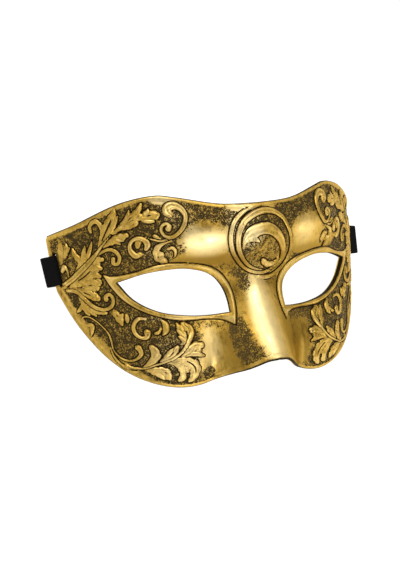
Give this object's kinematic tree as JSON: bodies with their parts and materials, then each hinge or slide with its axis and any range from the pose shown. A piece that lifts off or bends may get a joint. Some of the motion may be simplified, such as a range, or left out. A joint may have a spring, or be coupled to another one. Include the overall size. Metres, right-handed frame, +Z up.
{
  "type": "venetian half mask",
  "caption": "Antique-gold half mask with acanthus scrolls in relief, a roundel on the forehead, almond eye openings and black elastic loops.",
  "frame": {"origin": "centre of the bounding box at the floor, under the mask lying face up", "axes": "+X to the right of a person facing the mask, temple to temple; +Y from the nose edge to the forehead; +Z up, out of the lying mask's face"},
  "size_m": [0.1912, 0.0974, 0.0703],
  "materials": {
    "antique_gold": "antique gold paint on moulded plastic, satin, with a dark brown patina in the ground of the relief",
    "black_elastic": "black woven elastic"
  },
  "bodies": {
    "root": {"mask_shell": "antique_gold", "strap_loop_right": "black_elastic", "strap_loop_left": "black_elastic"}
  },
  "joints": []
}
